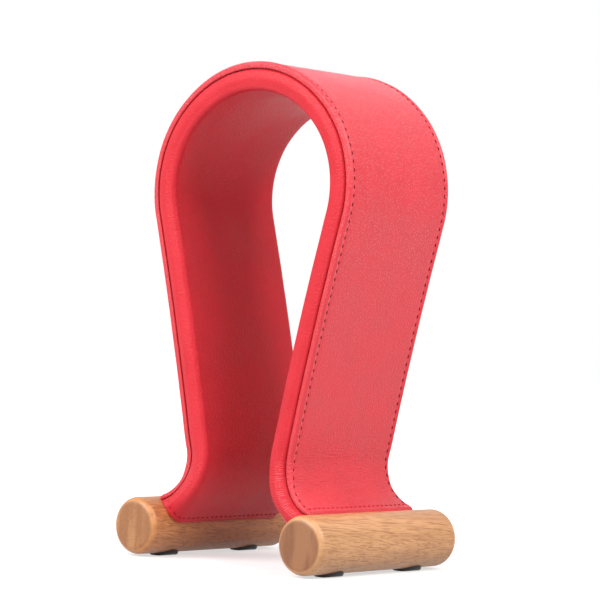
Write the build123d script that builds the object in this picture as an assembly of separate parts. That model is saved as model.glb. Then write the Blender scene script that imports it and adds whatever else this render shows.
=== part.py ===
"""Headphone stand: a bent board in padded leather, standing on two turned wooden bars.

Millimetres. X runs across the two feet, Y along the bars and across the strip, +Z is up.
The origin is on the table, midway between the feet and midway along the bars.
Depth is measured from the outer face of the leather towards the inside of the arch.
"""
import os
from math import acos, atan2, cos, degrees, hypot, radians, sin, sqrt

from build123d import *

# The arch, followed along its outer face. Directions are in degrees below the horizontal,
# as the strip runs from the top of the crown out and down one side.
overall_height = 258.2
crown_radius = 69.6
crown_turn = 49.7
shoulder_radius = 61.2
leg_top_direction = 105.3
leg_foot_direction = 101.7
flare_radius = 21.1
landing_direction = 19.5
landing_run = 8.0
landing_bite = 0.6

# The strip, layer by layer from its outer face to its inner face.
strip_width = 80.8
panel_thickness = 3.3
leather_thickness = 1.2
outer_foam_thickness = 0.8
board_thickness = 5.5
inner_foam_thickness = 2.8
edge_foam_thickness = 2.0

# Edges and turn-ins of the leather, and the way the sleeve widens above the bars. The outer panel
# ends square on each bar, this many degrees to the arch's side of its top.
panel_inset = 0.4
panel_outer_round = 1.6
groove_chamfer = 0.9
cover_inner_round = 3.3
cavity_chamfer = 1.2
cover_flange_width = 11.0
board_edge_chamfer = 1.5
panel_end_direction = 20.0
foot_widening = 3.5
widening_top = 58.0
widening_bottom = 26.0

# The wooden bars and the joint that carries the board.
bar_diameter = 29.8
bar_length = 110.5
bar_end_round = 4.0
tongue_depth = 21.0
mortise_side_gap = 0.1
mortise_end_gap = 0.5
saddle_gap = 0.1

# Rubber feet: thin pads stuck round the bars' undersides and pressed flat by the table. Each one
# hides a counterbore with a washer and the pan-head screw that runs on up through the tongue,
# so they are set back from the sides of the strip.
foot_diameter = 15.4
foot_thickness = 1.5
foot_flattening = 0.3
foot_rim_chamfer = 0.5
foot_setback = 9.0
screw_diameter = 3.5
screw_length = 18.0
screw_head_diameter = 7.0
screw_head_height = 2.3
screw_head_sink = 0.7
screw_hole_gap = 0.05
washer_diameter = 8.5
washer_thickness = 1.0
washer_gap = 0.15

# Worked out from the sizes above.
bar_radius = bar_diameter / 2
bar_bottom_height = foot_thickness - foot_flattening
bar_centre_height = bar_bottom_height + bar_radius
board_top_depth = panel_thickness + leather_thickness + outer_foam_thickness
board_bottom_depth = board_top_depth + board_thickness
cavity_bottom_depth = board_bottom_depth + inner_foam_thickness
strip_thickness = cavity_bottom_depth + leather_thickness
board_width = strip_width - 2 * (leather_thickness + edge_foam_thickness)
board_middle_depth = board_top_depth + board_thickness / 2
foot_spacing = strip_width - 2 * foot_setback
screw_head_bottom = bar_bottom_height + screw_head_sink
screw_seat = screw_head_bottom + screw_head_height
cutting_slack = 2.0


def outward(direction):
    """Unit vector square to a run of the strip, pointing away from the arch."""
    return Vector(sin(radians(direction)), 0, cos(radians(direction)))


def along(direction):
    """Unit vector along a run of the strip."""
    return Vector(cos(radians(direction)), 0, -sin(radians(direction)))


def arch_centres():
    """Centres of the four bends of the right half, the leg's radius and the bar's centre."""
    crown = Vector(0, 0, overall_height - crown_radius)
    shoulder = crown + outward(crown_turn) * (crown_radius - shoulder_radius)
    leg_top = shoulder + outward(leg_top_direction) * shoulder_radius
    to_bar = landing_run + sqrt(bar_radius**2 - (bar_radius - landing_bite) ** 2)
    below_leg = (outward(leg_foot_direction) - outward(landing_direction)) * flare_radius
    below_leg += along(landing_direction) * to_bar
    below_leg -= outward(landing_direction) * (bar_radius - landing_bite)
    leg_foot_height = bar_centre_height - below_leg.Z
    leg_bend = outward(leg_top_direction) - outward(leg_foot_direction)
    leg_radius = (leg_foot_height - leg_top.Z) / leg_bend.Z
    leg_foot = leg_top + leg_bend * leg_radius
    leg = leg_top + outward(leg_top_direction) * leg_radius
    flare = leg_foot + outward(leg_foot_direction) * flare_radius
    return crown, shoulder, leg, flare, leg_radius, leg_foot + below_leg


CROWN, SHOULDER, LEG, FLARE, leg_radius, BAR = arch_centres()


def tongue_direction():
    """Direction at which the middle of the board leaves the flare and points at the bar's centre."""
    reach = FLARE - BAR
    distance = hypot(reach.X, reach.Z)
    offset = degrees(atan2(reach.X, reach.Z))
    return offset + degrees(acos((flare_radius + board_middle_depth) / distance))


TONGUE = tongue_direction()


def bend(centre, radius, start, end):
    """Arc round a centre between two directions. A negative radius bends the other way."""
    middle = (start + end) / 2
    return ThreePointArc(*[centre + outward(angle) * radius for angle in (start, middle, end)])


def run_down(depth, flare_end, straight):
    """Edges of the right half at one depth, from the crown's top to the end of the straight run."""
    crown = bend(CROWN, crown_radius - depth, 0, crown_turn)
    shoulder = bend(SHOULDER, shoulder_radius - depth, crown_turn, leg_top_direction)
    leg = bend(LEG, -leg_radius - depth, leg_top_direction, leg_foot_direction)
    flare = bend(FLARE, -flare_radius - depth, leg_foot_direction, flare_end)
    tail = Line(flare @ 1, flare @ 1 + along(flare_end) * straight)
    return [crown, shoulder, leg, flare, tail]


def leather_run(depth):
    """Right half of the leather's outline at one depth, ending inside the bar."""
    straight = landing_run + sqrt(bar_radius**2 - (bar_radius - landing_bite) ** 2)
    return run_down(depth, landing_direction, straight)


def board_run(depth):
    """Right half of the board's outline at one depth, ending at the tip of its tongue."""
    flare_end = FLARE - outward(TONGUE) * (flare_radius + board_middle_depth)
    past_centre = tongue_depth - bar_radius
    straight = (BAR - flare_end).length + past_centre
    return run_down(depth, TONGUE, straight)


def band(upper, lower, width):
    """Solid between two outlines, mirrored to the left half and as wide as asked."""
    right = upper + lower + [Line(upper[-1] @ 1, lower[-1] @ 1)]
    left = [edge.mirror(Plane.YZ) for edge in right]
    return extrude(Face(Wire(right + left)), amount=width / 2, dir=(0, 1, 0), both=True)


def side_trim(inset):
    """Solid as wide as the sleeve seen from the side: straight, then easing out above the bars."""
    narrow = strip_width / 2 - inset
    wide = narrow + foot_widening
    middle = (widening_top + widening_bottom) / 2
    half_way = (narrow + wide) / 2
    upper = TangentArc((narrow, widening_top), (half_way, middle), tangent=(0, -1))
    lower = TangentArc((wide, widening_bottom), (half_way, middle), tangent=(0, 1))
    top = Polyline((narrow, widening_top), (narrow, 2 * overall_height), (0, 2 * overall_height))
    bottom = Polyline((wide, widening_bottom), (wide, -overall_height), (0, -overall_height))
    right = [upper, lower, top, bottom]
    left = [edge.mirror(Plane.YZ) for edge in right]
    profile = Plane.YZ * Face(Wire([edge for part in right + left for edge in part.edges()]))
    return extrude(profile, amount=overall_height, dir=(1, 0, 0), both=True)


def long_edges(solid, run):
    """Edges along both sides of a strip that follow one outline."""
    guide = Wire(run + [edge.mirror(Plane.YZ) for edge in run])
    found = []
    for edge in solid.edges():
        middle = edge @ 0.5
        if abs(middle.Y) > 1 and guide.distance_to(Vector(middle.X, 0, middle.Z)) < 0.01:
            found.append(edge)
    return found


def sleeve(top, bottom, inset):
    """Solid of the strip between two depths, drawn in from the sides."""
    widest = strip_width + 2 * foot_widening + 2 * cutting_slack
    return band(leather_run(top), leather_run(bottom), widest) & side_trim(inset)


def both_bars(shape_at):
    """The same shape at the left and at the right bar."""
    return [shape_at(Vector(side * BAR.X, 0, BAR.Z)) for side in (-1, 1)]


def bar_rod(centre, radius, length):
    """Plain rod on a bar's axis."""
    return Pos(*centre) * Rot(90, 0, 0) * Cylinder(radius, length)


def saddles():
    """What the bars cut out of everything that ends on them."""
    return both_bars(lambda centre: bar_rod(centre, bar_radius + saddle_gap, bar_length))


def past_panel_end(setback):
    """Boxes on the bars that cut the outer panel off square, or a little short of its ends."""
    ends = []
    for side in (-1, 1):
        past = Vector(side * cos(radians(panel_end_direction)), 0, sin(radians(panel_end_direction)))
        plane = Plane((side * BAR.X, 0, BAR.Z), x_dir=(0, 1, 0), z_dir=past)
        ends.append(plane * Pos(0, 0, bar_radius - setback) * Box(bar_length, 4 * bar_radius, bar_diameter))
    return ends


def screw_axes(centre):
    """Feet of the two vertical screw axes under one bar, on the table."""
    return [Vector(centre.X, side * foot_spacing / 2, 0) for side in (-1, 1)]


def rod_up(foot, radius, start, end):
    """Upright rod over a point on the table, between two heights."""
    return Pos(foot.X, foot.Y, (start + end) / 2) * Cylinder(radius, end - start)


def screw_holes():
    """Pilot holes for all the screws."""
    radius = screw_diameter / 2 + screw_hole_gap
    top = screw_seat + screw_length + screw_hole_gap
    feet = [foot for pair in both_bars(screw_axes) for foot in pair]
    return [rod_up(foot, radius, 0, top) for foot in feet]


def board():
    """Bent board: one omega of laminated wood whose ends are tongues for the bars."""
    upper = board_run(board_top_depth)
    lower = board_run(board_bottom_depth)
    solid = band(upper, lower, board_width)
    edges = long_edges(solid, upper) + long_edges(solid, lower)
    return chamfer(edges, board_edge_chamfer)


def window():
    """Gap between the two turned-in flanges of the cover, on the board's outer side."""
    width = strip_width - 2 * cover_flange_width
    return band(leather_run(panel_thickness), leather_run(panel_thickness + leather_thickness), width)


def cavity():
    """Space inside the inner cover, under its flanges."""
    space = sleeve(panel_thickness + leather_thickness, cavity_bottom_depth, leather_thickness)
    return chamfer(long_edges(space, leather_run(cavity_bottom_depth)), cavity_chamfer)


def inner_cover(space):
    """Leather over the inner face and both edges, its flanges turned in under the outer panel."""
    skin = sleeve(panel_thickness, strip_thickness, 0)
    skin = chamfer(long_edges(skin, leather_run(panel_thickness)), groove_chamfer)
    skin = fillet(long_edges(skin, leather_run(strip_thickness)), cover_inner_round)
    return skin - space - window() - saddles()


def outer_side():
    """Everything on the outer side of the board's outer face."""
    widest = strip_width + 2 * foot_widening
    return band(leather_run(0), board_run(board_top_depth), widest)


def panel_filling():
    """Foam sheet inside the outer panel."""
    space = sleeve(leather_thickness, panel_thickness, panel_inset + leather_thickness)
    return space - past_panel_end(leather_thickness)


def outer_panel(filling):
    """Top-stitched leather panel with its edges folded down to the cover's flanges."""
    skin = sleeve(0, panel_thickness, panel_inset)
    skin = chamfer(long_edges(skin, leather_run(panel_thickness)), groove_chamfer)
    skin = fillet(long_edges(skin, leather_run(0)), panel_outer_round)
    return skin - past_panel_end(0) - filling - saddles()


def foot_bar(centre):
    """Turned bar with rounded ends, a mortise for the tongue and counterbores for the screws."""
    bar = bar_rod(centre, bar_radius, bar_length)
    bar = fillet(bar.edges().filter_by(GeomType.CIRCLE), bar_end_round)
    side = 1 if centre.X > 0 else -1
    into = along(TONGUE)
    mouth = Plane(centre, x_dir=(0, 1, 0), z_dir=(side * into.X, 0, into.Z))
    thickness = board_thickness + 2 * mortise_side_gap
    width = board_width + 2 * mortise_side_gap
    deepest = tongue_depth - bar_radius + mortise_end_gap
    start = -bar_radius - cutting_slack
    mortise = mouth * Pos(0, 0, (start + deepest) / 2) * Box(width, thickness, deepest - start)
    counterbores = [counterbore(foot) for foot in screw_axes(centre)]
    return bar - mortise - counterbores - screw_holes()


def counterbore(foot):
    """Flat-bottomed bore that takes a screw's head and its washer."""
    radius = washer_diameter / 2 + washer_gap
    return rod_up(foot, radius, -cutting_slack, screw_seat + washer_thickness)


def rubber_foot(foot):
    """Round pad bent to the bar's underside, with a bevelled rim and a flat where it stands."""
    centre = Vector(foot.X, 0, bar_centre_height)
    skin = bar_rod(centre, bar_radius + foot_thickness, bar_length) - bar_rod(centre, bar_radius, bar_length)
    pad = skin & rod_up(foot, foot_diameter / 2, -cutting_slack, bar_centre_height)
    rim = pad.edges().sort_by(lambda edge: edge.center().Z)[0]
    pad = chamfer(rim, foot_rim_chamfer)
    return pad & rod_up(foot, foot_diameter, 0, bar_centre_height)


def washer(foot):
    """Steel washer at the bottom of the counterbore."""
    disc = rod_up(foot, washer_diameter / 2, screw_seat, screw_seat + washer_thickness)
    return disc - rod_up(foot, screw_diameter / 2 + screw_hole_gap, 0, overall_height)


def screw(foot):
    """Pan-head screw with a pointed shank."""
    head = rod_up(foot, screw_head_diameter / 2, screw_head_bottom, screw_seat)
    head = chamfer(head.edges().sort_by(Axis.Z)[0], screw_head_height / 2)
    point_length = screw_diameter
    straight_end = screw_seat + screw_length - point_length
    shank = rod_up(foot, screw_diameter / 2, screw_seat, straight_end)
    tip = Cone(screw_diameter / 2, screw_diameter / 10, point_length)
    return head + shank + Pos(foot.X, foot.Y, straight_end + point_length / 2) * tip


def build():
    """Every piece by its name."""
    bent_board = board()
    space = cavity()
    above = outer_side()
    filling = panel_filling()
    feet = [foot for pair in both_bars(screw_axes) for foot in pair]
    front_left, back_left, front_right, back_right = [rubber_foot(foot) for foot in feet]
    left_bar, right_bar = both_bars(foot_bar)
    return {
        "bent_board": bent_board - screw_holes(),
        "inner_padding": space - bent_board - above - saddles(),
        "outer_padding": (space & above) + window() - bent_board - saddles(),
        "inner_cover": inner_cover(space),
        "panel_padding": filling - saddles(),
        "outer_panel": outer_panel(filling),
        "left_foot_bar": left_bar,
        "right_foot_bar": right_bar,
        "front_left_rubber_foot": front_left,
        "back_left_rubber_foot": back_left,
        "front_right_rubber_foot": front_right,
        "back_right_rubber_foot": back_right,
        "foot_washers": Compound([washer(foot) for foot in feet]),
        "foot_screws": Compound([screw(foot) for foot in feet]),
    }


os.makedirs("parts", exist_ok=True)
for name, shape in build().items():
    export_step(shape, f"parts/{name}.step")
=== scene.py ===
"""Looks of the leather-wrapped headphone stand: padded leather, thread, turned wood and rubber.

Metres, in the frame of the CAD model: X across the two feet, Y along the bars, +Z up, the origin
on the table. A station is a distance along the outer face of the leather from the middle of the
crown, negative on the left. A depth is measured from that face towards the inside of the arch.
"""

from math import atan2, cos, exp, pi, radians, sin, sqrt

import bpy
from mathutils import Matrix, Vector, noise


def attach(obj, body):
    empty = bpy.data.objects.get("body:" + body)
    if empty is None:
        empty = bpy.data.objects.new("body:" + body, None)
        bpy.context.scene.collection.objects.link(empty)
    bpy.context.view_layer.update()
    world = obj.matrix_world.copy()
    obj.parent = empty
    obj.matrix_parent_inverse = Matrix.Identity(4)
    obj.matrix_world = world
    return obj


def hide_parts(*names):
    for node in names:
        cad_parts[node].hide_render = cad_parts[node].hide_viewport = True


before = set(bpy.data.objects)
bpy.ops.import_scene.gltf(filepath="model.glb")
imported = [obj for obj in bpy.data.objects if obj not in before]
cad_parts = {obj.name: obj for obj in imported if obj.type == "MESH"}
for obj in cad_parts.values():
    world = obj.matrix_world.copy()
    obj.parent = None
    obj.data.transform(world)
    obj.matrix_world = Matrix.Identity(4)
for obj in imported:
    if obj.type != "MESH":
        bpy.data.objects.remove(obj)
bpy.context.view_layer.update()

# The arch, from the crown down one side. Directions are measured below the horizontal.
OVERALL_HEIGHT = 0.2582
CROWN_RADIUS = 0.0696
CROWN_TURN = radians(49.7)
SHOULDER_RADIUS = 0.0612
LEG_TOP_DIRECTION = radians(105.3)
LEG_FOOT_DIRECTION = radians(101.7)
FLARE_RADIUS = 0.0211
LANDING_DIRECTION = radians(19.5)
LANDING_RUN = 0.008
LANDING_BITE = 0.0006

# The strip and the bars that it stands on.
STRIP_HALF_WIDTH = 0.0404
STRIP_THICKNESS = 0.0148
PANEL_THICKNESS = 0.0033
PANEL_INSET = 0.0004
LEATHER_THICKNESS = 0.0008
FOOT_WIDENING = 0.0035
WIDENING_TOP = 0.058
WIDENING_BOTTOM = 0.026
BAR_RADIUS = 0.0149
BAR_HEIGHT = 0.0161

# Folds of the leather. A reach is the distance from the hem at which a change for the hem starts,
# and it is complete at the full distance, or else at the hem itself.
HEM_FOLD_REACH = 0.048
HEM_FOLD_FULL = 0.024
PANEL_MARGIN = 0.0065
PANEL_FOLD_RADIUS = 0.0011
PANEL_UNDER_RADIUS = 0.0007
PANEL_TURN_IN = 0.0025
PANEL_HEM_SWELL = 0.0002
PANEL_HEM_PRESS = 0.0010
PANEL_HEM_PRESS_REACH = 0.027
PANEL_HEM_PRESS_FULL = 0.0147273
PANEL_LOW_DRAW = 0.0016
PANEL_LOW_DRAW_FULL = 0.018
PANEL_HEM_DRAW = 0.0002
PANEL_HEM_DRAW_REACH = 0.0030
PANEL_END_FOLD = 0.0009
PANEL_END_DIRECTION = radians(20)
PANEL_END_GAP = 0.0001
COVER_FOLD_RADIUS = 0.0020
COVER_HEM_FOLD_WIDTH = 0.0030
COVER_HEM_FOLD_HEIGHT = 0.0040
COVER_CORNER_RADIUS = 0.0033
COVER_HEM_CORNER_WIDTH = 0.0085
COVER_HEM_CORNER_HEIGHT = 0.0055
HEM_CORNER_REACH = 0.022
COVER_TOE = 0.0028
COVER_TOE_REACH = 0.010
COVER_FLANGE = 0.0040
EDGE_BULGE = 0.0006
BULGED_HEIGHT = 0.006
FLANGE_GAP = 0.0003
HEM_ROLL_RADIUS = 0.0009
HEM_ROLL_TUCK = 0.35
HEM_LEAN = 0.6
ROLL_NUDGE = 0.001
HEM_BLEND = 0.045
FACE_ROLL_TURN = radians(170)
EDGE_ROLL_TURN = radians(95)

# Seams and relief. The skin's unevenness is pairs of waves per metre and height.
SIDE_SEAM_SETBACK = 0.0033
HEM_SEAM_SETBACK = 0.0017
SIDE_STITCH_PITCH = 0.0043
HEM_STITCH_PITCH = 0.0036
STITCH_LENGTH = 0.0024
STITCH_WIDTH = 0.00100
STITCH_HEIGHT = 0.00055
STITCH_ENDS = 0.38
STITCH_DIVE = 0.35
STITCH_MIDDLE = 0.2
STITCH_SWELLING = (1.15, 1.08, 1.05)
STITCH_PULL = 0.2
SEAM_DIP = 0.00034
SEAM_DIP_WIDTH = 0.0011
MARGIN_RISE = 0.00034
SKIN_RELIEF = ((90, 0.00007), (260, 0.00003))

# Fineness of the leather meshes: rows along the run, then steps across each part of a section.
ROW_STEP = 0.0014
FINE_ROW_STEP = 0.0007
FINE_ROWS_REACH = 0.050
HEM_ROWS = 8
HEM_FOLD_ROWS = 5
FACE_STEPS = 20
CORNER_STEPS = 7
EDGE_STEPS = 7
SEAM_STEPS = 8
MARGIN_STEPS = 5
FOLD_STEPS = 5
UNDER_STEPS = 4
HIDDEN_SHARES = (0.75, 0.5, 0.25, 0)
HALVINGS = 40
TUCKED_TURN = pi / 2 + 0.01


# ---- blends

def eased(value):
    """Smooth step from 0 to 1."""
    share = min(max(value, 0), 1)
    return share * share * (3 - 2 * share)


def rising(value, start, full):
    """Smooth rise from 0 where the value is at its start to 1 where it is full."""
    return eased((value - start) / (full - start))


def between(first, last, share):
    """Number at a share of the way from one to another."""
    return first + (last - first) * share


# ---- the run of the strip

def outward(direction):
    """Unit vector square to a run of the strip, pointing away from the arch."""
    return Vector((sin(direction), 0, cos(direction)))


def along(direction):
    """Unit vector along a run of the strip."""
    return Vector((cos(direction), 0, -sin(direction)))


def arch_bends():
    """Bends of the right half and the bar's centre.

    A bend is its centre, signed radius, first direction and last direction.
    """
    crown = Vector((0, 0, OVERALL_HEIGHT - CROWN_RADIUS))
    shoulder = crown + outward(CROWN_TURN) * (CROWN_RADIUS - SHOULDER_RADIUS)
    leg_top = shoulder + outward(LEG_TOP_DIRECTION) * SHOULDER_RADIUS
    bar_chord = BAR_RADIUS - LANDING_BITE
    to_bar = LANDING_RUN + sqrt(BAR_RADIUS**2 - bar_chord**2)
    below_leg = (outward(LEG_FOOT_DIRECTION) - outward(LANDING_DIRECTION)) * FLARE_RADIUS
    below_leg += along(LANDING_DIRECTION) * to_bar - outward(LANDING_DIRECTION) * bar_chord
    leg_turn = outward(LEG_TOP_DIRECTION) - outward(LEG_FOOT_DIRECTION)
    leg_radius = (BAR_HEIGHT - below_leg.z - leg_top.z) / leg_turn.z
    leg_foot = leg_top + leg_turn * leg_radius
    leg = leg_top + outward(LEG_TOP_DIRECTION) * leg_radius
    flare = leg_foot + outward(LEG_FOOT_DIRECTION) * FLARE_RADIUS
    bends = [
        (crown, CROWN_RADIUS, 0, CROWN_TURN),
        (shoulder, SHOULDER_RADIUS, CROWN_TURN, LEG_TOP_DIRECTION),
        (leg, -leg_radius, LEG_TOP_DIRECTION, LEG_FOOT_DIRECTION),
        (flare, -FLARE_RADIUS, LEG_FOOT_DIRECTION, LANDING_DIRECTION),
    ]
    return bends, leg_foot + below_leg


BENDS, BAR_CENTRE = arch_bends()
BEND_LENGTHS = [abs(radius * (last - first)) for _, radius, first, last in BENDS]
FLARE_STATION = sum(BEND_LENGTHS[:3])
TAIL_STATION = sum(BEND_LENGTHS)


def on_run(station, depth):
    """Point of the middle plane at a station and depth, and the outward direction there."""
    side = -1 if station < 0 else 1
    rest = abs(station)
    for (centre, radius, first, last), length in zip(BENDS, BEND_LENGTHS):
        direction = between(first, last, min(rest / length, 1))
        point = centre + outward(direction) * (radius - depth)
        if rest <= length:
            rest = 0
            break
        rest -= length
    point = point + along(direction) * rest
    away = outward(direction)
    return Vector((side * point.x, 0, point.z)), Vector((side * away.x, 0, away.z))


def from_bar(point):
    """Vector from the axis of the nearer bar to a point, square to the bar."""
    side = -1 if point.x < 0 else 1
    return Vector((point.x - side * BAR_CENTRE.x, 0, point.z - BAR_CENTRE.z))


def depth_at(place):
    """Depth of a point below the outer face, on the flare or past it."""
    centre, radius, _, last = BENDS[3]
    mirrored = Vector((abs(place.x), 0, place.z))
    away = mirrored - centre
    if atan2(-away.x, -away.z) > last:
        return away.length + radius
    return BAR_RADIUS - LANDING_BITE - (mirrored - BAR_CENTRE).dot(outward(last))


def last_station(near, far, holds):
    """Last station between two at which a test still holds."""
    for _ in range(HALVINGS):
        middle = (near + far) / 2
        if holds(middle):
            near = middle
        else:
            far = middle
    return near


def station_at_bar(depth, clearance):
    """Station at which the run at one depth comes within a clearance of the bar."""
    def clear(station):
        return from_bar(on_run(station, depth)[0]).length > BAR_RADIUS + clearance

    return last_station(FLARE_STATION, TAIL_STATION + LANDING_RUN + BAR_RADIUS, clear)


def half_width(height):
    """Half the width of the sleeve, which widens just above the bars."""
    return STRIP_HALF_WIDTH + FOOT_WIDENING * rising(height, WIDENING_TOP, WIDENING_BOTTOM)


def past_side(place):
    """Distance of a point past the side of the sleeve, negative inside it."""
    return abs(place.y) - half_width(place.z)


# ---- sections of the leather
# A column of a section is: share of the half width, distance added to it, depth, and how far the
# surface has turned from the flat face towards the side (0 on the face, half a turn on the back).

def cover_section(from_hem):
    """Half section of the inner cover, from the middle of its inner face to its hidden back."""
    growth = rising(from_hem, HEM_CORNER_REACH, 0)
    corner_width = between(COVER_CORNER_RADIUS, COVER_HEM_CORNER_WIDTH, growth)
    corner_height = between(COVER_CORNER_RADIUS, COVER_HEM_CORNER_HEIGHT, growth)
    opening = rising(from_hem, HEM_FOLD_REACH, HEM_FOLD_FULL)
    fold_width = between(COVER_FOLD_RADIUS, COVER_HEM_FOLD_WIDTH, opening)
    fold_height = between(COVER_FOLD_RADIUS, COVER_HEM_FOLD_HEIGHT, opening)
    top = PANEL_THICKNESS + FLANGE_GAP + PANEL_HEM_SWELL * opening
    toe = COVER_TOE * max(1 - from_hem / COVER_TOE_REACH, 0) ** 2
    low = STRIP_THICKNESS - corner_height
    high = top + fold_height
    bulge = EDGE_BULGE * min((low - high) / BULGED_HEIGHT, 1)
    columns = []
    for step in range(FACE_STEPS + 1):
        share = step / FACE_STEPS
        columns.append((share, -share * corner_width, STRIP_THICKNESS + toe, 0))
    for step in range(1, CORNER_STEPS + 1):
        turn = pi / 2 * step / CORNER_STEPS
        depth = low + (corner_height + toe) * cos(turn)
        columns.append((1, corner_width * (sin(turn) - 1), depth, turn))
    for step in range(1, EDGE_STEPS):
        share = step / EDGE_STEPS
        columns.append((1, bulge * sin(pi * share), between(low, high, share), pi / 2))
    for step in range(FOLD_STEPS + 1):
        turn = pi / 2 * step / FOLD_STEPS
        depth = top + fold_height * (1 - sin(turn))
        columns.append((1, fold_width * (cos(turn) - 1), depth, pi / 2 + turn))
    for step in (1, 2):
        columns.append((1, -fold_width - COVER_FLANGE * step / 2, top, pi))
    for share in HIDDEN_SHARES:
        columns.append((share, -share * (fold_width + COVER_FLANGE), top, pi))
    return columns


def panel_edge(from_hem):
    """Distance from the sleeve's side to the panel's edge, which is drawn in above the bars."""
    low = PANEL_LOW_DRAW * rising(from_hem, HEM_FOLD_REACH, PANEL_LOW_DRAW_FULL)
    return low + PANEL_HEM_DRAW * rising(from_hem, PANEL_HEM_DRAW_REACH, 0)


def panel_section(from_hem):
    """Half section of the outer panel, from the middle of its face round to its underside."""
    opening = rising(from_hem, HEM_FOLD_REACH, HEM_FOLD_FULL)
    thickness = PANEL_THICKNESS + PANEL_HEM_SWELL * opening
    top = PANEL_HEM_PRESS * rising(from_hem, PANEL_HEM_PRESS_REACH, PANEL_HEM_PRESS_FULL)
    bottom = thickness - PANEL_UNDER_RADIUS
    edge = -panel_edge(from_hem)
    columns = []
    for step in range(FACE_STEPS + 1):
        share = step / FACE_STEPS
        columns.append((share, -share * PANEL_MARGIN, top, 0))
    for step in range(1, SEAM_STEPS + 1):
        inset = between(-PANEL_MARGIN, -SIDE_SEAM_SETBACK, step / SEAM_STEPS)
        columns.append((1, inset, top, 0))
    for step in range(1, MARGIN_STEPS):
        inset = between(-SIDE_SEAM_SETBACK, edge - PANEL_FOLD_RADIUS, step / MARGIN_STEPS)
        columns.append((1, inset, top, 0))
    for step in range(FOLD_STEPS + 1):
        turn = pi / 2 * step / FOLD_STEPS
        inset = edge + PANEL_FOLD_RADIUS * (sin(turn) - 1)
        columns.append((1, inset, top + PANEL_FOLD_RADIUS * (1 - cos(turn)), turn))
    columns.append((1, edge, (top + PANEL_FOLD_RADIUS + bottom) / 2, pi / 2))
    for step in range(UNDER_STEPS + 1):
        turn = pi / 2 * step / UNDER_STEPS
        inset = edge + PANEL_UNDER_RADIUS * (cos(turn) - 1)
        columns.append((1, inset, bottom + PANEL_UNDER_RADIUS * sin(turn), pi / 2 + turn))
    for step in (1, 2):
        inset = edge - PANEL_UNDER_RADIUS - PANEL_TURN_IN * step / 2
        columns.append((1, inset, thickness, pi))
    return columns


# ---- hems
# The cover ends in a roll that lies on the wood. The panel ends square on the wood, on a plane
# through the bar's axis, with its leather folded down to the wood as an end wall.

def cover_end(column):
    """Station at which a column of the cover ends over the bar, so that its roll touches it."""
    _, _, depth, turn = column
    clearance = 1 + HEM_LEAN * cos(turn)
    if turn > pi / 2:
        clearance = between(HEM_ROLL_TUCK, 1, sin(turn))
    return station_at_bar(depth, HEM_ROLL_RADIUS * clearance)


def wall_fold(turn):
    """Radius of the fold from a panel column down into the end wall, tightest at the side."""
    return PANEL_END_GAP + PANEL_END_FOLD * max(cos(turn), 0)


def panel_end(column):
    """Station at which a column of the panel turns down into the end wall, or meets the bar."""
    _, _, depth, turn = column
    past = Vector((cos(PANEL_END_DIRECTION), 0, sin(PANEL_END_DIRECTION)))
    at_bar = station_at_bar(depth, PANEL_END_GAP)
    if turn > TUCKED_TURN:
        return at_bar

    def above_wall(station):
        point, away = on_run(station, depth)
        return from_bar(point).dot(past) < wall_fold(turn) * (away.dot(past) - 1)

    return last_station(FLARE_STATION, at_bar, above_wall)


def cover_roll(point, ahead, across, turn, facing):
    """Points of the roll at the foot of a cover column, which touches the wood."""
    down = from_bar(point).normalized() * -1
    forwards = max(cos(turn), 0) + ROLL_NUDGE
    ahead = (ahead * forwards + down * sin(turn)).normalized()
    normal = ahead.cross(across).normalized() * facing
    last_turn = between(FACE_ROLL_TURN, EDGE_ROLL_TURN, turn / (pi / 2))
    roll = []
    for step in range(1, HEM_ROWS + 1):
        angle = last_turn * step / HEM_ROWS
        roll.append(point + (ahead * sin(angle) - normal * (1 - cos(angle))) * HEM_ROLL_RADIUS)
    return roll


def panel_wall(point, ahead, across, turn, facing):
    """Points of the fold and end wall at the foot of a panel column, down to the wood."""
    half = 1 if point.x > 0 else -1
    tucked = turn > TUCKED_TURN
    target = Vector((half * sin(PANEL_END_DIRECTION), 0, -cos(PANEL_END_DIRECTION)))
    if tucked:
        target = Vector((0, -1 if point.y > 0 else 1, 0))
    bent = (target - ahead * target.dot(ahead)).normalized()
    last_turn = ahead.angle(target)
    fold = []
    for step in range(1, HEM_FOLD_ROWS + 1):
        angle = last_turn * step / HEM_FOLD_ROWS
        fold.append(point + (ahead * sin(angle) + bent * (1 - cos(angle))) * wall_fold(turn))
    over_wood = from_bar(fold[-1]).length - BAR_RADIUS - PANEL_END_GAP
    down = target * (0 if tucked else max(over_wood, 0))
    wall_rows = HEM_ROWS - HEM_FOLD_ROWS
    return fold + [fold[-1] + down * step / wall_rows for step in range(1, wall_rows + 1)]


# ---- relief of the leather

def seam_relief(offset, run):
    """Height of the leather beside a seam: a valley under the thread, deeper at each stitch."""
    pull = 1 - STITCH_PULL + STITCH_PULL * cos(2 * pi * run / SIDE_STITCH_PITCH)
    return -SEAM_DIP * pull * exp(-((offset / SEAM_DIP_WIDTH) ** 2))


def margin_relief(offset, setback):
    """Height of the padded welt between a seam and the edge that it runs along."""
    if not 0 < offset < setback:
        return 0
    return MARGIN_RISE * sin(pi * offset / setback) ** 2


def skin_relief(point):
    """Gentle unevenness of hand-wrapped leather."""
    return sum(height * noise.noise(point * waves) for waves, height in SKIN_RELIEF)


def panel_relief(column, width, station, from_end, point):
    """Height added to the outer panel at one point."""
    share, inset, _, turn = column
    height = skin_relief(point)
    if turn > 0:
        return height
    from_side = width - (share * width + inset)
    edge = panel_edge(from_end)
    height += margin_relief(from_side - edge, SIDE_SEAM_SETBACK - edge)
    if from_end > HEM_SEAM_SETBACK:
        height += seam_relief(from_side - SIDE_SEAM_SETBACK, station)
    if from_side > SIDE_SEAM_SETBACK:
        height += seam_relief(from_end - HEM_SEAM_SETBACK, width * share)
    return height


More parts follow.
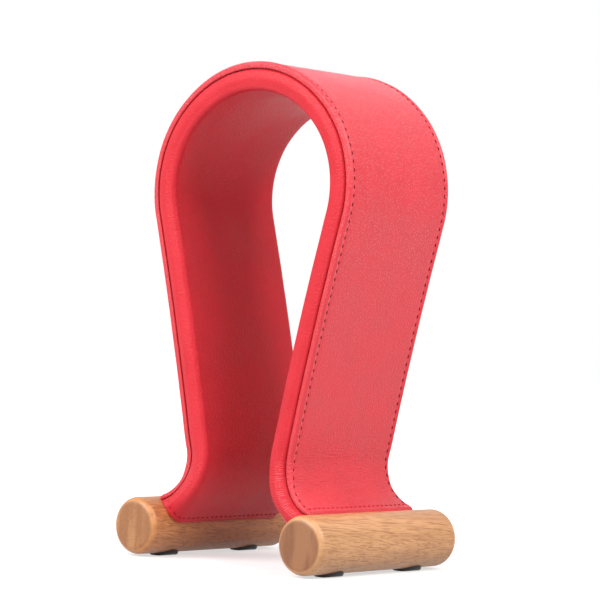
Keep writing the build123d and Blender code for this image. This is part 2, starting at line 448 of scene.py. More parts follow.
def cover_relief(column, width, station, from_end, point):
    """Height added to the inner cover at one point."""
    share, _, _, turn = column
    height = skin_relief(point)
    if turn > pi / 2:
        return height
    return height + seam_relief(from_end - HEM_SEAM_SETBACK, share * width)


# The groove's painted shade is given by the turns of the section at which it starts and is
# darkest.
PANEL_SHELL = {
    "section": panel_section, "face": 1, "inset": PANEL_INSET,
    "end": panel_end, "hem": panel_wall, "relief": panel_relief,
    "groove": (radians(100), radians(165)),
}
COVER_SHELL = {
    "section": cover_section, "face": -1, "inset": 0,
    "end": cover_end, "hem": cover_roll, "relief": cover_relief,
    "groove": (radians(104), radians(150)),
}


# ---- leather shells

def row_stations():
    """Stations of the rows from the crown to the end of a column, finer over the flare."""
    end = TAIL_STATION + LANDING_RUN
    stations = []
    station = 0
    while station < end - FINE_ROWS_REACH:
        stations.append(station)
        station += ROW_STEP
    while station < end - FINE_ROW_STEP / 2:
        stations.append(station)
        station += FINE_ROW_STEP
    return stations + [end], end


def leather_point(column, side, station, from_end, shell):
    """Point of a shell on one column of its section, on the left (-1) or right (1) long side."""
    share, added, depth, turn = column
    middle, away = on_run(station, depth)
    width = half_width(middle.z) - shell["inset"]
    point = middle + Vector((0, side * (share * width + added), 0))
    normal = away * (shell["face"] * cos(turn)) + Vector((0, side * sin(turn), 0))
    return point + normal * shell["relief"](column, width, station, from_end, point)


def quarter_columns(shell, half, side):
    """Columns of one quarter of a shell, from the crown to the bar and then round the hem."""
    stations, end = row_stations()
    sections = [shell["section"](end - row) for row in stations]
    columns = []
    for index, hem_column in enumerate(sections[-1]):
        last = shell["end"](hem_column)
        points = []
        for row, section in zip(stations, sections):
            station = row + (last - end) * rising(row, end - HEM_BLEND, end)
            point = leather_point(section[index], side, half * station, last - station, shell)
            points.append(point)
        columns.append(points)
    return with_hems(columns, sections[-1], shell, half * side)


def with_hems(columns, section, shell, quarter):
    """Columns of one quarter with the hem's points added at the foot of each."""
    facing = shell["face"] * quarter
    finished = []
    for index, points in enumerate(columns):
        before = columns[max(index - 1, 0)][-1]
        after = columns[min(index + 1, len(columns) - 1)][-1]
        ahead = (points[-1] - points[-2]).normalized()
        hem = shell["hem"](points[-1], ahead, after - before, section[index][3], facing)
        finished.append(points + hem)
    return finished


def shell_points(shell):
    """All points of a shell as rows from the left bar over the crown to the right bar."""
    quarters = {}
    for half in (-1, 1):
        for side in (-1, 1):
            quarters[half, side] = quarter_columns(shell, half, side)
    rows = []
    count = len(quarters[1, 1][0])
    for half, order in ((-1, range(count - 1, 0, -1)), (1, range(count))):
        for row in order:
            front = [column[row] for column in reversed(quarters[half, -1][1:])]
            back = [column[row] for column in quarters[half, 1]]
            rows.append(front + back)
    return rows


def running_lengths(points):
    """Distance of each point of a line from its first."""
    lengths = [0]
    for before, after in zip(points, points[1:]):
        lengths.append(lengths[-1] + (after - before).length)
    return lengths


def groove_shade_share(shell):
    """Painted shade of each column of a shell in the groove beside the panel, from 0 to 1."""
    first, last = shell["groove"]
    quarter = [rising(turn, first, last) for _, _, _, turn in shell["section"](0)]
    return quarter[:0:-1] + quarter


def lay_grid(name, rows, shell):
    """Mesh grid whose points are moved onto a shell, with a map in metres along the leather."""
    bpy.ops.object.select_all(action="DESELECT")
    across = len(rows[0]) - 1
    down = len(rows) - 1
    bpy.ops.mesh.primitive_grid_add(x_subdivisions=across, y_subdivisions=down, size=2)
    piece = bpy.context.object
    piece.name = name
    mesh = piece.data
    places = []
    for vertex in mesh.vertices:
        column = round((1 - shell["face"] * vertex.co.x) / 2 * across)
        row = round((vertex.co.y + 1) / 2 * down)
        places.append((row, column))
    for vertex, (row, column) in zip(mesh.vertices, places):
        vertex.co = rows[row][column]
    widths = running_lengths(rows[down // 2])
    lengths = running_lengths([row[across // 2] for row in rows])
    # Painted shade in the groove, written at the points for the leather's colour.
    groove_shades = groove_shade_share(shell)
    shaded = mesh.attributes.new("painted_groove_shade", "FLOAT", "POINT")
    shaded.data.foreach_set("value", [groove_shades[column] for _, column in places])
    layer = mesh.uv_layers.active.data
    for loop in mesh.loops:
        row, column = places[loop.vertex_index]
        layer[loop.index].uv = (widths[column], lengths[row])
    return piece


def thicken(piece, thickness):
    """Gives a leather sheet its thickness, inwards from its grain side."""
    bpy.ops.object.select_all(action="DESELECT")
    piece.select_set(True)
    bpy.context.view_layer.objects.active = piece
    wall = piece.modifiers.new("leather_wall", "SOLIDIFY")
    wall.thickness = thickness
    wall.offset = -1
    bpy.ops.object.modifier_apply(modifier=wall.name)
    bpy.ops.object.shade_smooth()


# ---- marks on the leather
# Values written at the points of the leather, for its material. The numbers are places in metres.

def mark_points(piece, name, amount_at):
    """Writes a value at each point of a piece."""
    marks = piece.data.attributes.new(name, "FLOAT", "POINT")
    marks.data.foreach_set("value", [amount_at(vertex.co) for vertex in piece.data.vertices])


def panel_creasing(place):
    """The panel is creased most where it bends above the bars."""
    return between(0.2, 1, rising(place.z, 0.085, 0.040))


def cover_creasing(place):
    """The cover is creased on its edges, where it bends above the bars."""
    on_edge = rising(past_side(place), -0.002, 0)
    return between(0.12, 1, on_edge * rising(place.z, 0.070, 0.045))


def panel_gathering_and_highlight(place):
    """The panel is puckered a little at its lower corners; the mark also drives a painted
    highlight.
    """
    return 0.35 * rising(past_side(place), -0.012, -0.006) * rising(place.z, 0.050, 0.038)


def cover_gathering_and_highlight(place):
    """The cover is gathered beside the groove above the bars, most of all on the right; the mark
    also drives a painted highlight on the gathers.
    """
    on_edge = rising(past_side(place), -0.005, -0.002)
    low = rising(place.z, 0.062, 0.042) * rising(place.z, 0.016, 0.030)
    near_groove = rising(depth_at(place), 0.0104, 0.0069)
    return on_edge * low * near_groove * (1 if place.x > 0 else 0.3)


# ---- seams

def seam_normal(rows, row, column, face):
    """Unit normal of a shell at one of its points."""
    before = rows[max(row - 1, 0)][column]
    after = rows[min(row + 1, len(rows) - 1)][column]
    front = rows[row][max(column - 1, 0)]
    back = rows[row][min(column + 1, len(rows[0]) - 1)]
    return (after - before).cross(back - front).normalized() * face


def side_seam(rows, column, face):
    """Points and normals of a seam along one column of a shell, from hem seam to hem seam."""
    line = [row[column] for row in rows]
    lengths = running_lengths(line)
    first = lengths[HEM_ROWS] + HEM_SEAM_SETBACK
    last = lengths[-1 - HEM_ROWS] - HEM_SEAM_SETBACK
    seam = []
    for row, length in enumerate(lengths):
        if first <= length <= last:
            seam.append((line[row], seam_normal(rows, row, column, face)))
    return seam


def hem_seam(rows, to_side, half, face):
    """Points and normals of a seam a little above one hem, up to a count of columns from it."""
    order = range(HEM_ROWS, len(rows))
    if half > 0:
        order = range(len(rows) - 1 - HEM_ROWS, -1, -1)
    middle = len(rows[0]) // 2
    seam = []
    for column in range(middle - to_side, middle + to_side + 1):
        walked = 0
        for below, row in zip(order, order[1:]):
            walked += (rows[row][column] - rows[below][column]).length
            if walked >= HEM_SEAM_SETBACK:
                seam.append((rows[row][column], seam_normal(rows, row, column, face)))
                break
    return seam


def stitch_places(seam, pitch):
    """Placements of the stitches of one seam: X along the thread, Z off the leather."""
    lengths = running_lengths([point for point, _ in seam])
    count = int(lengths[-1] / pitch)
    start = (lengths[-1] - (count - 1) * pitch) / 2
    places = []
    index = 0
    for stitch in range(count):
        wanted = start + stitch * pitch
        while lengths[index + 1] < wanted:
            index += 1
        share = (wanted - lengths[index]) / (lengths[index + 1] - lengths[index])
        point = seam[index][0].lerp(seam[index + 1][0], share)
        thread = (seam[index + 1][0] - seam[index][0]).normalized()
        off = seam[index][1].lerp(seam[index + 1][1], share)
        across = off.cross(thread).normalized()
        off = thread.cross(across)
        turned = Matrix((thread, across, off)).transposed().to_4x4()
        places.append(Matrix.Translation(point) @ turned)
    return places


def select_vertices(piece, wanted):
    """Selects the points of a piece that pass a test, leaving it in edit mode."""
    bpy.ops.object.mode_set(mode="EDIT")
    bpy.ops.mesh.select_mode(type="VERT")
    bpy.ops.mesh.select_all(action="DESELECT")
    bpy.ops.object.mode_set(mode="OBJECT")
    for vertex in piece.data.vertices:
        vertex.select = wanted(vertex.co)
    bpy.ops.object.mode_set(mode="EDIT")


def one_stitch():
    """A single stitch at the origin: a short pull of thread whose ends dive into their holes."""
    bpy.ops.object.select_all(action="DESELECT")
    bpy.ops.mesh.primitive_uv_sphere_add(
        segments=8, ring_count=7, radius=0.5, rotation=(0, pi / 2, 0),
    )
    stitch = bpy.context.object
    bpy.ops.object.transform_apply(location=False, rotation=True, scale=False)
    bpy.ops.transform.resize(value=(STITCH_LENGTH, STITCH_WIDTH, STITCH_HEIGHT))
    bpy.ops.object.transform_apply(location=False, rotation=False, scale=True)
    select_vertices(stitch, lambda place: abs(place.x) > STITCH_LENGTH * STITCH_ENDS)
    bpy.ops.transform.translate(value=(0, 0, -STITCH_HEIGHT * STITCH_DIVE))
    select_vertices(stitch, lambda place: abs(place.x) < STITCH_LENGTH * STITCH_MIDDLE)
    bpy.ops.transform.resize(value=STITCH_SWELLING)
    bpy.ops.object.mode_set(mode="OBJECT")
    bpy.ops.object.shade_smooth()
    return stitch


def sew(name, stitch, places):
    """Copies one stitch to every place and joins the copies into one seam."""
    bpy.ops.object.select_all(action="DESELECT")
    for place in places:
        copy = stitch.copy()
        copy.data = stitch.data.copy()
        copy.data.transform(place)
        bpy.context.collection.objects.link(copy)
        copy.select_set(True)
        bpy.context.view_layer.objects.active = copy
    bpy.ops.object.join()
    seam = bpy.context.object
    seam.name = name
    return seam


# ---- shader nodes

def feed(tree, socket, value):
    """Links another socket to a socket, or writes a plain value into it."""
    if isinstance(value, bpy.types.NodeSocket):
        tree.links.new(value, socket)
    else:
        socket.default_value = value


def add_math(tree, operation, *values):
    """Math node on numbers or sockets; gives its output."""
    node = tree.nodes.new("ShaderNodeMath")
    node.operation = operation
    for socket, value in zip(node.inputs, values):
        feed(tree, socket, value)
    return node.outputs[0]


def add_vector_math(tree, operation, *values):
    """Vector math node on vectors or sockets; gives its vector, or its length."""
    node = tree.nodes.new("ShaderNodeVectorMath")
    node.operation = operation
    for socket, value in zip(node.inputs, values):
        feed(tree, socket, value)
    return node.outputs["Value" if operation == "LENGTH" else "Vector"]


def add_stretch(tree, vector, sizes):
    """Vector divided by a size in X, Y and Z, so that each size becomes 1; gives the vector."""
    combined = tree.nodes.new("ShaderNodeCombineXYZ")
    for socket, size in zip(combined.inputs, sizes):
        feed(tree, socket, size)
    return add_vector_math(tree, "DIVIDE", vector, combined.outputs[0])


def add_mapping(tree, vector, scale, rotation=(0, 0, 0)):
    """Vector scaled and then turned; gives the new vector."""
    node = tree.nodes.new("ShaderNodeMapping")
    node.inputs["Scale"].default_value = scale
    node.inputs["Rotation"].default_value = rotation
    tree.links.new(vector, node.inputs["Vector"])
    return node.outputs["Vector"]


def add_noise(tree, vector, scale, detail=3.0, roughness=0.5):
    """Noise texture read at a vector; gives its value."""
    node = tree.nodes.new("ShaderNodeTexNoise")
    node.inputs["Detail"].default_value = detail
    node.inputs["Roughness"].default_value = roughness
    tree.links.new(vector, node.inputs["Vector"])
    feed(tree, node.inputs["Scale"], scale)
    return node.outputs["Fac"]


def add_range(tree, value, low, high, to_low=0.0, to_high=1.0):
    """Maps a range of a value smoothly onto another."""
    node = tree.nodes.new("ShaderNodeMapRange")
    node.interpolation_type = "SMOOTHSTEP"
    numbers = {"From Min": low, "From Max": high, "To Min": to_low, "To Max": to_high}
    for label, number in numbers.items():
        node.inputs[label].default_value = number
    tree.links.new(value, node.inputs["Value"])
    return node.outputs["Result"]


def add_mix(tree, share, first, second):
    """Mix of two colours, each a socket or a colour; gives the mixed colour."""
    node = tree.nodes.new("ShaderNodeMix")
    node.data_type = "RGBA"
    for index, value in ((0, share), (6, first), (7, second)):
        feed(tree, node.inputs[index], value)
    return node.outputs[2]


def add_bump(tree, height, depth, under=None):
    """Bump of a given depth in metres, laid over another normal; gives the normal."""
    node = tree.nodes.new("ShaderNodeBump")
    node.inputs["Distance"].default_value = depth
    tree.links.new(height, node.inputs["Height"])
    if under is not None:
        tree.links.new(under, node.inputs["Normal"])
    return node.outputs["Normal"]


def split(tree, vector, axis):
    """One part of a vector: X, Y or Z."""
    parts = tree.nodes.new("ShaderNodeSeparateXYZ")
    tree.links.new(vector, parts.inputs[0])
    return parts.outputs[axis]


def coordinates(tree, output="Object"):
    """Object coordinates, or the piece's own map in metres."""
    return tree.nodes.new("ShaderNodeTexCoord").outputs[output]


def point_mark(tree, name):
    """Value that a piece carries at its points, or 0."""
    mark = tree.nodes.new("ShaderNodeAttribute")
    mark.attribute_name = name
    return mark.outputs["Fac"]


# ---- node groups

def new_group(name, inputs, outputs):
    """Empty shader node group; gives its tree, the vector, the other inputs and its output node.

    Inputs are names with their defaults, outputs are names with their kinds.
    """
    tree = bpy.data.node_groups.new(name, "ShaderNodeTree")
    tree.interface.new_socket("Vector", in_out="INPUT", socket_type="NodeSocketVector")
    for label, value in inputs.items():
        kind = "NodeSocketFloat" if isinstance(value, float) else "NodeSocketColor"
        socket = tree.interface.new_socket(label, in_out="INPUT", socket_type=kind)
        socket.default_value = value
    for label, kind in outputs.items():
        tree.interface.new_socket(label, in_out="OUTPUT", socket_type=kind)
    given = tree.nodes.new("NodeGroupInput").outputs
    return tree, given["Vector"], given, tree.nodes.new("NodeGroupOutput")


def pebble_grain():
    """Group: the fine pebbled grain of leather, as a height from 0 to 1.3."""
    inputs = {"Cells per Metre": 640.0}
    tree, place, given, out = new_group("pebble_grain", inputs, {"Height": "NodeSocketFloat"})
    wobble = add_noise(tree, place, 700, detail=1).node.outputs["Color"]
    shaken = add_vector_math(tree, "MULTIPLY_ADD", wobble, (0.0005, 0.0005, 0.0005), place)
    cells = tree.nodes.new("ShaderNodeTexVoronoi")
    cells.feature = "DISTANCE_TO_EDGE"
    tree.links.new(shaken, cells.inputs["Vector"])
    tree.links.new(given["Cells per Metre"], cells.inputs["Scale"])
    domes = add_range(tree, cells.outputs["Distance"], 0.0, 0.38)
    fine = add_noise(tree, place, 3200, detail=2)
    tree.links.new(add_math(tree, "MULTIPLY_ADD", fine, 0.3, domes), out.inputs["Height"])
    return tree


def soft_creases():
    """Group: soft creases that lie across the run of the leather, as a height from 0 to 1."""
    inputs = {"Length": 0.012, "Spacing": 0.003}
    tree, place, given, out = new_group("soft_creases", inputs, {"Height": "NodeSocketFloat"})
    stretched = add_stretch(tree, place, (given["Length"], given["Spacing"], 1.0))
    ripple = add_noise(tree, stretched, 1.0, detail=2.5, roughness=0.55)
    ridged = add_math(tree, "ABSOLUTE", add_math(tree, "SUBTRACT", ripple, 0.5))
    tree.links.new(add_range(tree, ridged, 0.0, 0.16), out.inputs["Height"])
    return tree


def short_gathers():
    """Group: short gathers pulled tight beside a groove, as a height from 0 to 1."""
    inputs = {"Spacing": 0.0014}
    tree, place, given, out = new_group("short_gathers", inputs, {"Height": "NodeSocketFloat"})
    turns = add_math(tree, "DIVIDE", split(tree, place, "Y"), given["Spacing"])
    wandering = add_math(tree, "MULTIPLY_ADD", add_noise(tree, place, 150, detail=1), 1.6, turns)
    wave = add_math(tree, "SINE", add_math(tree, "MULTIPLY", wandering, 2 * pi))
    strength = add_range(tree, add_noise(tree, place, 420, detail=1), 0.36, 0.54)
    gathers = add_math(tree, "MULTIPLY", add_range(tree, wave, 0.55, 1.0), strength)
    tree.links.new(gathers, out.inputs["Height"])
    return tree


def wood_lines():
    """Group: fine broken lines that run along Y, as in oiled hardwood, as a mask from 0 to 1."""
    inputs = {"Length": 0.02, "Spacing": 0.002}
    tree, place, given, out = new_group("wood_lines", inputs, {"Mask": "NodeSocketFloat"})
    stretched = add_stretch(tree, place, (given["Spacing"], given["Length"], given["Spacing"]))
    ripple = add_noise(tree, stretched, 1.0, detail=1.0)
    from_line = add_math(tree, "ABSOLUTE", add_math(tree, "SUBTRACT", ripple, 0.5))
    line = add_range(tree, from_line, 0.015, 0.085, 1.0, 0.0)
    whole = add_range(tree, add_noise(tree, stretched, 1.9, detail=1.0), 0.40, 0.58)
    tree.links.new(add_math(tree, "MULTIPLY", line, whole), out.inputs["Mask"])
    return tree


def colour_drift():
    """Group: uneven drift between two shades of a finish, as a colour and a mask from 0 to 1."""
    grey = (0.5, 0.5, 0.5, 1)
    inputs = {"Shade": grey, "Other Shade": grey, "Patches per Metre": 40.0}
    outputs = {"Color": "NodeSocketColor", "Mask": "NodeSocketFloat"}
    tree, place, given, out = new_group("colour_drift", inputs, outputs)
    slow = add_noise(tree, place, given["Patches per Metre"], detail=4, roughness=0.6)
    mask = add_range(tree, slow, 0.3, 0.7)
    tree.links.new(mask, out.inputs["Mask"])
    mixed = add_mix(tree, mask, given["Shade"], given["Other Shade"])
    tree.links.new(mixed, out.inputs["Color"])
    return tree


GRAIN = pebble_grain()
CREASES = soft_creases()
GATHERS = short_gathers()
LINES = wood_lines()
DRIFT = colour_drift()


# ---- materials

LEATHER_SHADES = ((0.68, 0.022, 0.035, 1), (0.74, 0.030, 0.046, 1))
# Painted highlight colour for the gathers and the tops of the pebbles.
LEATHER_HIGHLIGHT = (0.98, 0.30, 0.33, 1)
# Painted shade colour for the groove beside the panel.
LEATHER_GROOVE_SHADE = (0.60, 0.008, 0.018, 1)
LEATHER_SHEEN = (1.0, 0.86, 1.0, 1)
# One red thread in two shades: darker as painted shade in the side seams' stitch dips, lighter as
# painted light on the hems.
SHADED_THREAD_SHADES = ((0.15, 0.002, 0.005, 1), (0.22, 0.003, 0.008, 1))
LIT_THREAD_SHADES = ((0.46, 0.008, 0.018, 1), (0.60, 0.014, 0.027, 1))
# The left bar's wood is redder than the right's: partly its own tone, partly painted red light
# bounced from the leather.
LEFT_WOOD_AND_BOUNCE_SHADES = ((0.56, 0.230, 0.078, 1), (0.71, 0.315, 0.120, 1))
LEFT_LINE_SHADE = (0.30, 0.095, 0.026, 1)
LEFT_END_SHADES = ((0.52, 0.245, 0.100, 1), (0.38, 0.160, 0.060, 1))
RIGHT_WOOD_SHADES = ((0.57, 0.278, 0.118, 1), (0.70, 0.372, 0.174, 1))
RIGHT_LINE_SHADE = (0.36, 0.135, 0.044, 1)
RIGHT_END_SHADES = ((0.37, 0.162, 0.070, 1), (0.25, 0.092, 0.037, 1))
RUBBER_SHADES = ((0.006, 0.006, 0.007, 1), (0.012, 0.012, 0.014, 1))
STEEL_SHADES = ((0.52, 0.53, 0.54, 1), (0.66, 0.67, 0.68, 1))
FOAM_SHADES = ((0.18, 0.18, 0.19, 1), (0.34, 0.34, 0.35, 1))
BOARD_SHADES = ((0.52, 0.34, 0.19, 1), (0.66, 0.47, 0.29, 1))


def new_material(name):
    """Material with its Principled shader and output; gives it, its tree and the shader."""
    material = bpy.data.materials.new(name)
    material.use_nodes = True
    tree = material.node_tree
    return material, tree, tree.nodes["Principled BSDF"]


def place_group(tree, group, **values):
    """Places a node group, with its inputs set or linked by name; gives its outputs."""
    node = tree.nodes.new("ShaderNodeGroup")
    node.node_tree = group
    for label, value in values.items():
        feed(tree, node.inputs[label.replace("_", " ")], value)
    return node.outputs


def place_drift(tree, vector, patches, shades):
    """Places the drift between two shades; gives its colour and its mask."""
    drift = place_group(
        tree, DRIFT, Vector=vector, Patches_per_Metre=patches,
        Shade=shades[0], Other_Shade=shades[1],
    )
    return drift["Color"], drift["Mask"]


def red_leather(
    name, crease_length, crease_spacing, crease_depth, grain_depth, grain_highlight, gloss, sheen,
):
    """Dyed smooth leather: pebbles, creases and gathers where it bends, uneven colour and sheen.

    Painted highlight lightens the pebble tops over the crown and shoulders, and the gathers.
    """
    material, tree, shader = new_material(name)
    place = coordinates(tree)
    run = coordinates(tree, "UV")
    colour, mask = place_drift(tree, place, 45.0, LEATHER_SHADES)
    grain = place_group(tree, GRAIN, Vector=place, Cells_per_Metre=640.0)["Height"]
    creases = place_group(
        tree, CREASES, Vector=run, Length=crease_length, Spacing=crease_spacing,
    )["Height"]
    gathers = place_group(tree, GATHERS, Vector=run, Spacing=0.0014)["Height"]
    folded = add_math(tree, "MULTIPLY", creases, point_mark(tree, "creasing"))
    gathers_and_highlight = add_math(tree, "MULTIPLY", gathers, point_mark(tree, "gathering_and_highlight"))
    normal = add_bump(tree, grain, grain_depth)
    normal = add_bump(tree, folded, crease_depth, normal)
    tree.links.new(add_bump(tree, gathers_and_highlight, 0.00014, normal), shader.inputs["Normal"])
    # Painted highlight: lighter pebble tops, fading out below the shoulders, and lighter gathers.
    height = split(tree, place, "Z")
    stretched = add_range(tree, height, 0.10, 0.18, 0.1 * grain_highlight, grain_highlight)
    pebble_highlight = add_math(tree, "MULTIPLY", add_range(tree, grain, 0.45, 1.1), stretched)
    painted_highlight = add_math(tree, "MAXIMUM", add_math(tree, "MULTIPLY", gathers_and_highlight, 0.80), pebble_highlight)
    highlighted = add_mix(tree, painted_highlight, colour, LEATHER_HIGHLIGHT)
    # Painted shade: the colour is darkened in the groove beside the panel.
    groove_shade = add_math(tree, "MULTIPLY", point_mark(tree, "painted_groove_shade"), 0.85)
    tree.links.new(add_mix(tree, groove_shade, highlighted, LEATHER_GROOVE_SHADE), shader.inputs["Base Color"])
    tree.links.new(add_range(tree, mask, 0.0, 1.0, 0.40, 0.48), shader.inputs["Roughness"])
    shader.inputs["Specular IOR Level"].default_value = gloss
    shader.inputs["Sheen Weight"].default_value = sheen
    shader.inputs["Sheen Roughness"].default_value = 0.35
    shader.inputs["Sheen Tint"].default_value = LEATHER_SHEEN
    return material


def bar_wood(name, shades, line_shade, end_shades):
    """Oiled turned hardwood: fine dark lines along the bar, wider figure, speckled end grain."""
    material, tree, shader = new_material(name)
    place = coordinates(tree)
    tilted = add_mapping(tree, place, (1, 1, 1), (radians(5), 0, radians(5)))
    lengthwise = add_mapping(tree, tilted, (1.0, 0.06, 1.0))
    figure, mask = place_drift(tree, lengthwise, 230.0, shades)
    long = place_group(tree, LINES, Vector=tilted, Length=0.034, Spacing=0.0013)["Mask"]
    fine = place_group(tree, LINES, Vector=tilted, Length=0.018, Spacing=0.0008)["Mask"]
    lines = add_math(tree, "MAXIMUM", long, add_math(tree, "MULTIPLY", fine, 0.7))
    surface = tree.nodes.new("ShaderNodeNewGeometry")
    to_end = add_math(tree, "ABSOLUTE", split(tree, surface.outputs["Normal"], "Y"))
    on_side = add_range(tree, to_end, 0.02, 0.85, 0.75, 0.0)
    lines = add_math(tree, "MULTIPLY", lines, on_side)
    streaked = add_mix(tree, lines, figure, line_shade)
    rings = add_mapping(tree, place, (1.0, 1.0, 0.15), (0, radians(8), 0))
    rings = add_noise(tree, rings, 130, detail=4, roughness=0.55)
    speckle = add_range(tree, add_noise(tree, place, 1300, detail=2), 0.52, 0.66)
    speckle = add_math(tree, "MULTIPLY", speckle, 0.55)
    end_colour = add_mix(tree, add_range(tree, rings, 0.42, 0.60), *end_shades)
    end_colour = add_mix(tree, speckle, end_colour, line_shade)
    on_end = add_range(tree, to_end, 0.80, 0.99)
    tree.links.new(add_mix(tree, on_end, streaked, end_colour), shader.inputs["Base Color"])
    tree.links.new(add_bump(tree, lines, -0.00005), shader.inputs["Normal"])
    tree.links.new(add_range(tree, mask, 0.0, 1.0, 0.36, 0.46), shader.inputs["Roughness"])
    return material


def plain_finish(name, patches, shades, relief, roughness, gloss=0.5, stretch=(1, 1, 1)):
    """Finish that drifts between two shades, with a faint relief that follows the drift."""
    material, tree, shader = new_material(name)
    place = add_mapping(tree, coordinates(tree), stretch)
    colour, mask = place_drift(tree, place, patches, shades)
    tree.links.new(colour, shader.inputs["Base Color"])
    tree.links.new(add_bump(tree, mask, relief), shader.inputs["Normal"])
    shader.inputs["Roughness"].default_value = roughness
    shader.inputs["Specular IOR Level"].default_value = gloss
    return material


def zinc_steel():
    """Zinc-plated steel with cloudy shine."""
    material, tree, shader = new_material("zinc_steel")
    colour, mask = place_drift(tree, coordinates(tree), 600.0, STEEL_SHADES)
    tree.links.new(colour, shader.inputs["Base Color"])
    tree.links.new(add_range(tree, mask, 0.0, 1.0, 0.26, 0.40), shader.inputs["Roughness"])
    shader.inputs["Metallic"].default_value = 1.0
    return material


def foam_sheet():
    """Grey upholstery foam with open cells."""
    material, tree, shader = new_material("foam_sheet")
    cells = place_group(tree, GRAIN, Vector=coordinates(tree), Cells_per_Metre=1500.0)["Height"]
    tree.links.new(add_mix(tree, cells, *FOAM_SHADES), shader.inputs["Base Color"])
    tree.links.new(add_bump(tree, cells, 0.0002), shader.inputs["Normal"])
    shader.inputs["Roughness"].default_value = 0.9
    return material


def finish_piece(piece, material, slot=None):
    """Gives a piece its only material, and attaches a new piece, one given a slot, to the root
    body.
    """
    piece.data.materials.clear()
    piece.data.materials.append(material)
    if slot:
        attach(piece, "root")


# ---- studio

CAMERA_PLACE = (0.84877, -0.98170, 0.1291)
CAMERA_YAW = radians(40.73)
CAMERA_PITCH = radians(0.37)
CAMERA_ROLL = radians(2.51)
CAMERA_LENS = 148.7
CAMERA_SENSOR = 36
LAMP_TARGET = (0, 0, 0.12)
SURROUND_LIGHT = 0.16
FLOOR_GREY = (0.55, 0.55, 0.55, 1)
WHITE = (1, 1, 1, 1)


def set_camera():
    """Camera with a long lens, at the front right and a little rolled."""
    yaw, pitch, roll = CAMERA_YAW, CAMERA_PITCH, CAMERA_ROLL
    ahead = Vector((-sin(yaw) * cos(pitch), cos(yaw) * cos(pitch), sin(pitch)))
    level = Vector((cos(yaw), sin(yaw), 0))
    upright = level.cross(ahead)
    right = level * cos(roll) + upright * sin(roll)
    above = upright * cos(roll) - level * sin(roll)
    data = bpy.data.cameras.new("stand_camera")
    data.lens = CAMERA_LENS
    data.sensor_width = CAMERA_SENSOR
    camera = bpy.data.objects.new("stand_camera", data)
    turned = Matrix((right, above, -ahead)).transposed().to_4x4()
    camera.matrix_world = Matrix.Translation(CAMERA_PLACE) @ turned
    bpy.context.collection.objects.link(camera)
    bpy.context.scene.camera = camera


def add_softbox(name, place, size, power):
    """Square area lamp that looks at the middle of the stand."""
    data = bpy.data.lights.new(name, "AREA")
    data.shape = "SQUARE"
    data.size = size
    data.energy = power
    lamp = bpy.data.objects.new(name, data)
    lamp.location = place
    to_stand = Vector(LAMP_TARGET) - Vector(place)
    lamp.rotation_euler = to_stand.to_track_quat("-Z", "Y").to_euler()
    bpy.context.collection.objects.link(lamp)


def seen_directly(tree):
    """1 for camera, mirror and transmission rays, which see the white background."""
    path = tree.nodes.new("ShaderNodeLightPath").outputs
    either = add_math(tree, "MAXIMUM", path["Is Camera Ray"], path["Is Glossy Ray"])
    return add_math(tree, "MAXIMUM", either, path["Is Transmission Ray"])


def set_world():
    """Even studio surround: white where it is seen, dimmer where it lights the stand."""
    world = bpy.data.worlds.new("studio")
    world.use_nodes = True
    tree = world.node_tree
    background = tree.nodes["Background"]
    background.inputs["Color"].default_value = WHITE
    strength = add_range(tree, seen_directly(tree), 0.0, 1.0, SURROUND_LIGHT, 1.0)
    tree.links.new(strength, background.inputs["Strength"])
    bpy.context.scene.world = world


def lay_floor():
    """Pale floor that keeps the stand's shadow, fades into white and is clear from below."""
    bpy.ops.object.select_all(action="DESELECT")
    bpy.ops.mesh.primitive_plane_add(size=8)
    floor = bpy.context.object
    floor.name = "floor"
    material, tree, shader = new_material("pale_floor")
    shader.inputs["Base Color"].default_value = FLOOR_GREY
    shader.inputs["Roughness"].default_value = 0.9
    shader.inputs["Specular IOR Level"].default_value = 0.1
    shader.inputs["Emission Color"].default_value = WHITE
    distance = add_vector_math(tree, "LENGTH", coordinates(tree))
    fade = add_range(tree, distance, 0.12, 0.45, 0.60, 1.0)
    glow = add_math(tree, "MULTIPLY", seen_directly(tree), fade)
    tree.links.new(glow, shader.inputs["Emission Strength"])
    underneath = tree.nodes.new("ShaderNodeNewGeometry").outputs["Backfacing"]
    tree.links.new(add_math(tree, "SUBTRACT", 1.0, underneath), shader.inputs["Alpha"])
    floor.data.materials.append(material)


# ---- the stand

def build_leather():
    """Both leather shells and every seam on them."""
    panel_leather = red_leather(
        "red_panel_leather", crease_length=0.009, crease_spacing=0.0015, crease_depth=0.00016,
        grain_depth=0.00012, grain_highlight=0.15, gloss=0.56, sheen=0.34,
    )
    cover_leather = red_leather(
        "red_cover_leather", crease_length=0.006, crease_spacing=0.0016, crease_depth=0.00014,
        grain_depth=0.00010, grain_highlight=0.0, gloss=0.26, sheen=0.14,
    )
    panel_rows = shell_points(PANEL_SHELL)
    cover_rows = shell_points(COVER_SHELL)
    panel = lay_grid("stitched_outer_panel", panel_rows, PANEL_SHELL)
    cover = lay_grid("wrapped_inner_cover", cover_rows, COVER_SHELL)
    mark_points(panel, "creasing", panel_creasing)
    mark_points(cover, "creasing", cover_creasing)
    mark_points(panel, "gathering_and_highlight", panel_gathering_and_highlight)
    mark_points(cover, "gathering_and_highlight", cover_gathering_and_highlight)
    thicken(panel, LEATHER_THICKNESS)
    thicken(cover, LEATHER_THICKNESS)
    finish_piece(panel, panel_leather, "red_leather")
    finish_piece(cover, cover_leather, "red_leather")
    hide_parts("outer_panel", "panel_padding")
    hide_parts("inner_cover", "inner_padding", "outer_padding")
    build_seams(panel_rows, cover_rows)


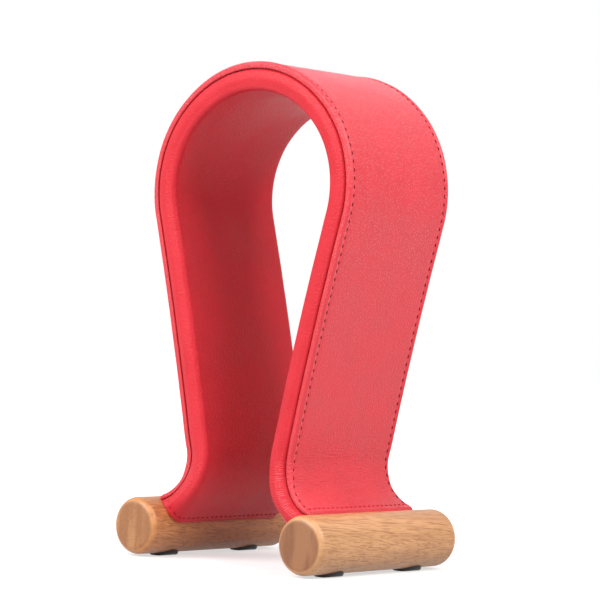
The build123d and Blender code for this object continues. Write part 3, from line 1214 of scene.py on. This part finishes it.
def build_seams(panel_rows, cover_rows):
    """Side seams and hem seams of the panel, and the hem seams of the cover."""
    # The side seams get the thread darkened as painted shade; the hems get it lightened as
    # painted light.
    shaded_thread = plain_finish("shaded_red_thread", 1400.0, SHADED_THREAD_SHADES, 0.00008, 0.75, 0.1)
    lit_red_thread = plain_finish("lit_red_thread", 1400.0, LIT_THREAD_SHADES, 0.00008, 0.75, 0.1)
    stitch = one_stitch()
    middle = len(panel_rows[0]) // 2
    to_seam = FACE_STEPS + SEAM_STEPS
    to_groove = FACE_STEPS + CORNER_STEPS + EDGE_STEPS
    sides = []
    for column in (middle - to_seam, middle + to_seam):
        sides += stitch_places(side_seam(panel_rows, column, 1), SIDE_STITCH_PITCH)
    panel_hems = []
    cover_hems = []
    for half in (-1, 1):
        panel_hems += stitch_places(hem_seam(panel_rows, to_seam, half, 1), HEM_STITCH_PITCH)
        cover_hems += stitch_places(hem_seam(cover_rows, to_groove, half, -1), HEM_STITCH_PITCH)
    seams = (
        ("side_stitching", sides, shaded_thread),
        ("panel_hem_stitching", panel_hems, lit_red_thread),
        ("cover_hem_stitching", cover_hems, lit_red_thread),
    )
    for name, places, thread in seams:
        finish_piece(sew(name, stitch, places), thread, "red_leather")
    bpy.data.objects.remove(stitch)


def finish_frame():
    """Materials of the pieces whose shapes come from the CAD model."""
    left_wood_and_bounce = bar_wood("left_bar_wood_and_bounce", LEFT_WOOD_AND_BOUNCE_SHADES, LEFT_LINE_SHADE, LEFT_END_SHADES)
    right_wood = bar_wood("right_bar_wood", RIGHT_WOOD_SHADES, RIGHT_LINE_SHADE, RIGHT_END_SHADES)
    rubber = plain_finish("matt_rubber", 900.0, RUBBER_SHADES, 0.00003, 0.62)
    board = plain_finish("ply_board", 60.0, BOARD_SHADES, 0.0001, 0.7, stretch=(1.0, 8.0, 1.0))
    steel = zinc_steel()
    foam = foam_sheet()
    lining = red_leather(
        "plain_leather", crease_length=0.014, crease_spacing=0.0030, crease_depth=0.00030,
        grain_depth=0.00015, grain_highlight=0.0, gloss=0.32, sheen=0.22,
    )
    finishes = {
        "bent_board": board, "inner_padding": foam, "outer_padding": foam,
        "panel_padding": foam, "outer_panel": lining, "inner_cover": lining,
        "left_foot_bar": left_wood_and_bounce, "right_foot_bar": right_wood,
        "foot_washers": steel, "foot_screws": steel,
    }
    for name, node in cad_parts.items():
        finish_piece(node, finishes.get(name, rubber))


bpy.context.scene.view_settings.view_transform = "Standard"
set_camera()
set_world()
lay_floor()
add_softbox("key_softbox", (-0.45, -1.35, 1.15), 1.2, 32)
add_softbox("fill_softbox", (1.30, 0.00, 1.30), 1.0, 29)
finish_frame()
build_leather()
